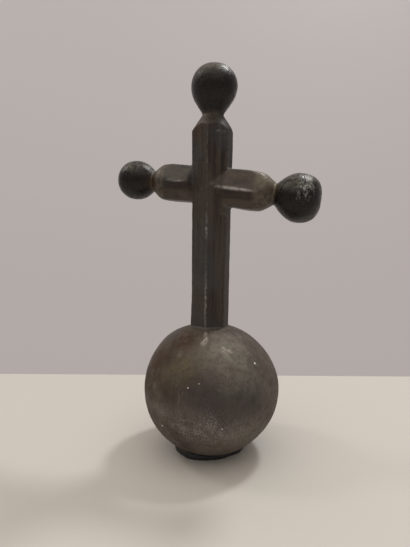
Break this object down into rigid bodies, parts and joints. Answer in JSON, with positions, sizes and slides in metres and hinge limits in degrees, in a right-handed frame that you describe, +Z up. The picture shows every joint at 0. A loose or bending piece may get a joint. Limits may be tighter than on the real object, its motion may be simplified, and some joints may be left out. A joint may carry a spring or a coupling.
{
  "type": "lead grave cross",
  "caption": "Cast lead cross of six-sided bars with round knobs on its free ends, standing on a large lead ball bedded in a thin black foot pad.",
  "frame": {"origin": "centre of the foot pad's underside, on the upright's axis", "axes": "+Z up along the upright, +X along the side arms to the viewer's right, -Y to the front"},
  "size_m": [0.1866, 0.124, 0.3475],
  "materials": {
    "weathered_lead": "weathered lead: matt brown-grey on the ball with a pale bloom, darker and glossier on the handled bars and knobs",
    "black_pitch": "rough, slightly glossy black bedding"
  },
  "bodies": {
    "root": {"lead_cross": "weathered_lead", "foot_pad": "black_pitch"}
  },
  "joints": []
}
